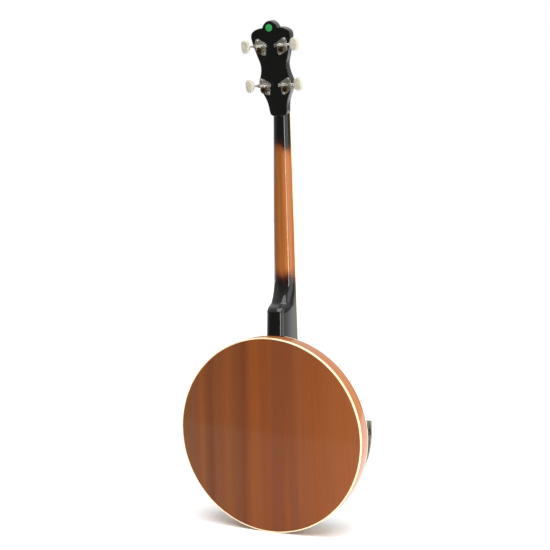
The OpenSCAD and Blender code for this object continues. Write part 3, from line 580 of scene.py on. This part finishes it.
def cut(obj, x, y, z):
    """Cuts a box, given by its bench ranges in x, y and z, out of obj's mesh."""
    corners = [(x[i], y[j], z[k]) for i in (0, 1) for j in (0, 1) for k in (0, 1)]
    faces = [(0, 1, 3, 2), (4, 6, 7, 5), (0, 4, 5, 1), (2, 3, 7, 6), (0, 2, 6, 4), (1, 5, 7, 3)]
    mesh = bpy.data.meshes.new("cutter")
    mesh.from_pydata([tuple(v) for v in stand(corners)], [], faces)
    bm = bmesh.new()
    bm.from_mesh(mesh)
    bmesh.ops.recalc_face_normals(bm, faces=bm.faces)
    bm.to_mesh(mesh)
    bm.free()
    cutter = bpy.data.objects.new("cutter", mesh)
    bpy.context.scene.collection.objects.link(cutter)
    slot_cut = obj.modifiers.new("slot", "BOOLEAN")
    slot_cut.operation, slot_cut.object, slot_cut.solver = "DIFFERENCE", cutter, "EXACT"
    bpy.context.view_layer.update()
    shape = bpy.data.meshes.new_from_object(obj.evaluated_get(bpy.context.evaluated_depsgraph_get()))
    obj.modifiers.clear()
    obj.data = shape
    bpy.data.objects.remove(cutter)
    smooth(shape, 40)


def resonator():
    """The back board, the bent wall with its notch, and the two bindings."""
    inner, lip = RES_R - WALL_T, RES_R - BIND_W
    mouth_z, outer = WALL_DEPTH - MOUTH_BIND_H, RES_R - WALL_GAP
    edge, top = lip - BOARD_GAP, BACK_T - BOARD_GAP
    board = fillet([(0, 0), (edge, 0), (edge, top), (0, top)], [0, 0.15, 0.3, 0], 3)
    lathe("back_board", board, MAT["mahogany_back"], "resonator",
          replaces=["resonator_back"], slot="mahogany_back")
    section = fillet([(inner, BACK_T), (lip, BACK_T), (lip, BIND_H), (outer, BIND_H), (outer, mouth_z),
                      (lip, mouth_z), (lip, WALL_DEPTH), (inner, WALL_DEPTH)],
                     [0, 0, 0, 0.1, 0.1, 0, 0.1, 0.6], 3)
    wall = lathe("bent_wall", section, MAT["mahogany_wall"], "resonator",
                 replaces=["resonator_wall"], slot="mahogany_wall", segments=288)
    rear = fillet([(lip, 0), (RES_R, 0), (RES_R, BIND_H), (lip, BIND_H)], [0.1, 1.1, 0.1, 0], 6)
    lathe("rear_binding", rear, MAT["cream_binding"], "resonator",
          replaces=["back_binding"], slot="cream_binding", segments=288)
    front = fillet([(lip, mouth_z), (RES_R, mouth_z), (RES_R, WALL_DEPTH), (lip, WALL_DEPTH)],
                   [0, 0.1, 0.9, 0.1], 6)
    mouth = lathe("mouth_binding", front, MAT["cream_binding"], "resonator",
                  replaces=["front_binding"], slot="cream_binding", segments=288)
    for piece in (wall, mouth):
        cut(piece, *NOTCH)


# ---------------------------------------------------------------- neck and peghead
WOOD_Z = 82.0                             # height of the wood's face under the fingerboard
NECK_Y0, NUT_Y = 148.2, 549.0
HEEL_TOP, HEEL_FULL = 257.0, 210.0        # where the heel's hollow starts, and where the heel is whole
HEEL_Z, HEEL_FALL = 31.0, 0.05            # how low the heel reaches there, and how it falls from there
HEEL_W, NUT_W = 44.0, 29.6                # the neck's width at the pot and at the nut
SHAFT_HEEL_T, SHAFT_NUT_T = 16.6, 14.3    # the shaft's depth at its two ends
HOLLOW_SHARE, HOLLOW_POWER = 0.66, 1.35   # the gentle part of the heel's hollow
STEP_SHARE, STEP_FROM, STEP_LONG = 0.34, 0.72, 0.17      # the steep step that ends it
SHAFT_ROUND, HEEL_ROUND = 2.1, 3.4        # the section's power: 2 is an ellipse, more is squarer
HOOP_CUT_R, RIM_CUT_R, SHOULDER_CUT_R = 147.6, 139.9, 143.4     # the pot's edge, cut into the heel
HOOP_Z, SHOULDER_Z = 65.4, 33.9           # above the one the hoop is in the way, below the other the shoulder
WOOD_W, PEG_T = -13.3, 15.0               # the peghead wood's front face in its own frame; whole thickness
LOBE = [(0, 0), (4, 0.8), (7.4, 2.8), (11.3, 6.5), (14, 11.6)]
SIDE = [(14, 11.6), (20, 12), (25.5, 13.2), (31, 15.8), (35.2, 20), (36.5, 25), (36, 30.5), (34.2, 39.3),
        (28.4, 59), (24.6, 71), (24.2, 80), (26, 90), (29, 99), (30.3, 106.5), (29, 114.5), (25.6, 121.6),
        (22, 128.8), (19.1, 136), (17.4, 144), (16.4, 152)]


def half_width(y):
    """Half the neck's width at y."""
    return mix(HEEL_W, NUT_W, (min(y, NUT_Y) - NECK_Y0) / (NUT_Y - NECK_Y0)) / 2


def heel_part(y):
    """How much of the heel there is at y: 0 on the shaft, 1 at the pot."""
    return min(1, max(0, (HEEL_TOP - y) / (HEEL_TOP - HEEL_FULL)))


def neck_depth(y):
    """The heel's hollow comes down gently at first, and ends in a short steep step."""
    t = heel_part(y)
    step = min(1, max(0, (t - STEP_FROM) / STEP_LONG))
    slim = mix(SHAFT_HEEL_T, SHAFT_NUT_T, max(0, (y - HEEL_TOP) / (NUT_Y - HEEL_TOP)))
    deep = WOOD_Z - HEEL_Z + HEEL_FALL * max(0, HEEL_FULL - y)
    return mix(slim, deep, HOLLOW_SHARE * t ** HOLLOW_POWER + STEP_SHARE * step * step * (3 - 2 * step))


def peg_front(y):
    """Height of the peghead wood's front face at y."""
    return PEG_TOP[2] + (PEG_TOP[1] - y) * math.tan(PEG_TILT) - WOOD_W / math.cos(PEG_TILT)


def pot_edge_y(x, z):
    """Where the neck's wood starts at x and height z: cut to the rim, and set back for hoop and shoulder."""
    r = HOOP_CUT_R if z > HOOP_Z else (RIM_CUT_R if z > SHOULDER_Z else SHOULDER_CUT_R)
    return math.sqrt(r * r - x * x)


def neck_ring(y, n=48, across=8):
    """The neck's section at y: a round back in n steps, and the flat front in a few."""
    p = 2 / mix(SHAFT_ROUND, HEEL_ROUND, heel_part(y) ** 2)
    top = WOOD_Z if y <= NUT_Y + 4.6 else peg_front(y) - 0.4
    under = WOOD_Z - neck_depth(min(y, NUT_Y))
    ring = []
    for k in range(n + 1):
        a = math.pi * k / n
        x = half_width(y) * signed_power(math.cos(a), p)
        z = top - (top - under) * abs(math.sin(a)) ** p
        ring.append((x, y if y > NECK_Y0 + 12 else max(y, pot_edge_y(x, z)), z))
    ring += [(half_width(y) * (2 * k / across - 1), ring[0][1], top) for k in range(1, across)]
    return ring


def neck():
    """The shaft and heel: one smooth loft, running a little way inside the peghead."""
    ys = [138.0, 156, 166, 180, 195] + [float(y) for y in np.arange(206, HEEL_TOP + 8, 1.5)]
    ys += [float(y) for y in np.linspace(HEEL_TOP + 14, NUT_Y + 4.5, 20)]
    ys += [NUT_Y + 10, NUT_Y + 17, NUT_Y + 24]
    lofted("neck_shaft", [neck_ring(y) for y in ys], MAT["neck_lacquer"], BODY,
           replaces=["neck"], slot="neck_lacquer", sharp=50)


def peg_outline(steps, tail):
    """The peghead's outline: its lobe, its side, and a tail of points that closes it below."""
    half = spline(LOBE, steps) + spline(SIDE, steps) + [np.array(p, float) for p in [SIDE[-1]] + tail]
    return mirrored(half)


def peghead():
    """The peghead's wood, its back edges rounded over, and the thin overlay on its front."""
    outline = peg_outline(5, [(15.7, 157), (14.2, 159.6), (10.5, 161.4), (5, 162.2), (0.0, 162.4)])
    slab("peghead", outline, WOOD_W, 0, 1.0, MAT["neck_lacquer"], BODY, place=lambda p: stand(peg(p)),
         slot="neck_lacquer", sharp=50)
    face = peg_outline(5, [(15.9, 157)])
    slab("headstock_face", face, -PEG_T, WOOD_W, 0.35, MAT["black_lacquer"], BODY,
         place=lambda p: stand(peg(p)), replaces=["headstock_overlay"], slot="black_lacquer", sharp=50)


LABEL_X, LABEL_S, LABEL_R, LABEL_T = 1.2, 11.3, 6.3, 0.14


def label():
    """A plain round paper label on the back of the peghead's top lobe."""
    ring = [(LABEL_X + LABEL_R * math.cos(a), LABEL_S + LABEL_R * math.sin(a))
            for a in np.linspace(0, 2 * math.pi, 64, endpoint=False)]
    slab("round_label", ring, 0.0, LABEL_T, 0.06, MAT["label_green"], BODY, place=lambda p: stand(peg(p)),
         steps=2, slot="black_lacquer")


# ---------------------------------------------------------------- tuners
SHAFT_S, SHAFT_W = (40.4, 107.5), 6.9     # the shafts' places along the peghead, and out of its back
BUTTON_X, BUTTON_W, BUTTON_L, BUTTON_T = 45.2, 14.4, 22.6, 8
COLLAR = ((35.7, 1.9), (35.9, 2.3), (36.6, 2.6), (38.6, 2.7), (40.5, 3.2))      # x and radius
TUNERS = [(1, 0), (-1, 0), (1, 1), (-1, 1)]     # side, and which pair: 0 upper, 1 lower


def tuner_frame(k):
    """Places points drawn about tuner k's shaft: x outwards, y along the peghead, z out of its back."""
    side, low = TUNERS[k]

    def place(points):
        p = np.asarray(points, float).copy()
        p[:, 0] *= side
        p[:, 1] += SHAFT_S[low]
        return stand(peg(p))
    return place


def button_rings(width, length, thick, n=64, levels=14):
    """A pillow-shaped button: a rounded outline whose faces swell and whose rim is soft."""
    rings = []
    for j in range(levels + 1):
        a = -math.pi / 2 + math.pi * j / levels
        grow = abs(math.cos(a)) ** 0.42 if 0 < j < levels else 0.02
        z = thick / 2 * signed_power(math.sin(a), 0.75)
        ring = []
        for i in range(n):
            t = 2 * math.pi * i / n
            x = width / 2 * signed_power(math.cos(t), 0.62)
            y = length / 2 * signed_power(math.sin(t), 0.62)
            pinch = 1 - 0.12 * max(0, -x / (width / 2))
            ring.append((BUTTON_X + x * grow, y * grow * pinch, SHAFT_W + z))
        rings.append(ring)
    return rings


def buttons():
    """Each tuner's button, and the short neck that joins it to its shaft."""
    turns = np.linspace(0, 2 * math.pi, 32, endpoint=False)
    for k in range(len(TUNERS)):
        lofted(f"button_{k + 1}", button_rings(BUTTON_W, BUTTON_L, BUTTON_T), MAT["button_plastic"],
               f"tuner_{k + 1}_shaft", place=tuner_frame(k), replaces=[f"tuner_button_{k + 1}"],
               slot="button_plastic", sharp=80)
        collar = [[(x, r * math.cos(t), SHAFT_W + r * math.sin(t)) for t in turns] for x, r in COLLAR]
        lofted(f"button_neck_{k + 1}", collar, MAT["button_plastic"], f"tuner_{k + 1}_shaft",
               place=tuner_frame(k), slot="button_plastic")


# ---------------------------------------------------------------- staging
LENS, SENSOR = 75.3, 36                   # millimetres
AZIMUTH, ELEVATION, ROLL = 205.06, 5.64, -1.12
DISTANCE, AIM_X, AIM_Z = 1.940, -0.0186, 0.4481


def camera():
    """The photograph's view: from behind, a little to the side and above, with a long lens."""
    data = bpy.data.cameras.new("camera")
    data.lens, data.sensor_width = LENS, SENSOR
    cam = bpy.data.objects.new("camera", data)
    azimuth, elevation, roll = (math.radians(v) for v in (AZIMUTH, ELEVATION, ROLL))
    back = Vector((math.sin(azimuth) * math.cos(elevation), -math.cos(azimuth) * math.cos(elevation),
                   math.sin(elevation)))
    right = (-back).cross(Vector((0, 0, 1))).normalized()
    up = right.cross(-back)
    turned = right * math.cos(roll) + up * math.sin(roll)
    upward = up * math.cos(roll) - right * math.sin(roll)
    basis = Matrix((turned, upward, back)).transposed().to_4x4()
    basis.translation = Vector((AIM_X, BACK_Y * MM, AIM_Z)) + back * DISTANCE
    cam.matrix_world = basis
    bpy.context.scene.collection.objects.link(cam)
    bpy.context.scene.camera = cam


def place_light(name, data, at, aim):
    """Puts a light at a point, turned towards another, and out of the camera's sight."""
    obj = bpy.data.objects.new(name, data)
    obj.location = at
    obj.rotation_euler = (Vector(aim) - Vector(at)).to_track_quat("-Z", "Y").to_euler()
    obj.visible_camera = False
    bpy.context.scene.collection.objects.link(obj)


def panel(name, at, aim, size, radiance):
    """A flat studio light, given by how bright its face is."""
    data = bpy.data.lights.new(name, "AREA")
    data.shape = "RECTANGLE"
    data.size, data.size_y = size
    data.energy = radiance * math.pi * size[0] * size[1]
    place_light(name, data, at, aim)


# How the world's light changes with a direction's height and with how far back it points:
# from and to in the direction, then the strength at each
OVERHEAD_SPAN = (0.0, 0.8, 0.55, 1.15)
BEHIND_SPAN = (0.35, 0.85, 1.0, 0.42)


def studio_world():
    """White where the camera looks past the object; as light, bright overhead and dim behind the camera."""
    world = bpy.data.worlds.new("studio")
    world.use_nodes = True
    tree = world.node_tree
    tree.nodes.clear()

    def add(kind):
        return tree.nodes.new(kind)
    out, seen, lit, both = (add(k) for k in ("ShaderNodeOutputWorld", "ShaderNodeBackground",
                                             "ShaderNodeBackground", "ShaderNodeMixShader"))
    seen.inputs["Color"].default_value = (1, 1, 1, 1)
    path, coords, parts = add("ShaderNodeLightPath"), add("ShaderNodeTexCoord"), add("ShaderNodeSeparateXYZ")
    tree.links.new(coords.outputs["Generated"], parts.inputs[0])
    height, behind, product = add("ShaderNodeMapRange"), add("ShaderNodeMapRange"), add("ShaderNodeMath")
    for node, source, span in ((height, 2, OVERHEAD_SPAN), (behind, 1, BEHIND_SPAN)):
        tree.links.new(parts.outputs[source], node.inputs["Value"])
        for key, value in zip(("From Min", "From Max", "To Min", "To Max"), span):
            node.inputs[key].default_value = value
        node.interpolation_type = "SMOOTHSTEP"
    product.operation = "MULTIPLY"
    tree.links.new(height.outputs["Result"], product.inputs[0])
    tree.links.new(behind.outputs["Result"], product.inputs[1])
    tree.links.new(product.outputs[0], lit.inputs["Strength"])
    tree.links.new(path.outputs["Is Camera Ray"], both.inputs[0])
    tree.links.new(lit.outputs[0], both.inputs[1])
    tree.links.new(seen.outputs[0], both.inputs[2])
    tree.links.new(both.outputs[0], out.inputs[0])
    bpy.context.scene.world = world


FLOOR_X, FLOOR_BACK = (-6, 6), 0.72       # metres; the floor ends a little behind the instrument
FLOOR_FRONT = -9
SUN_AT, SUN_ENERGY, SUN_SPREAD = (-0.45, 0.8, 2.5), 2.75, 55


def stage():
    """A white floor, the world's light, an overhead sun, and two panels to the left seen from the front."""
    sheet = bpy.data.meshes.new("floor")
    left, right = FLOOR_X
    sheet.from_pydata([(left, FLOOR_FRONT, 0), (right, FLOOR_FRONT, 0), (right, FLOOR_BACK, 0),
                       (left, FLOOR_BACK, 0)], [], [(0, 1, 2, 3)])
    obj = bpy.data.objects.new("floor", sheet)
    bpy.context.scene.collection.objects.link(obj)
    m = Nodes("floor")
    tone = m.noise(m.scaled((0.7, 0.7, 0.7)), 1.0, 2.0)
    paper = m.ramp(tone, [(0.3, (0.87, 0.87, 0.87)), (0.7, (0.89, 0.89, 0.89))])
    sheet.materials.append(m.set(paper, 0.8, 0.0))
    studio_world()
    sun = bpy.data.lights.new("overhead", "SUN")
    sun.energy, sun.angle = SUN_ENERGY, math.radians(SUN_SPREAD)
    place_light("overhead", sun, SUN_AT, (0, 0, 0))
    panel("side", (-2.3, 0.45, 0.9), (0, 0, 0.45), (2.0, 2.2), 1.6)
    panel("strip", (-1.46, 1.51, 0.55), (0, 0.03, 0.5), (0.26, 1.2), 14)
    bpy.context.scene.view_settings.view_transform = "Standard"


camera()
stage()
finish_cad_nodes()
resonator()
neck()
peghead()
label()
buttons()
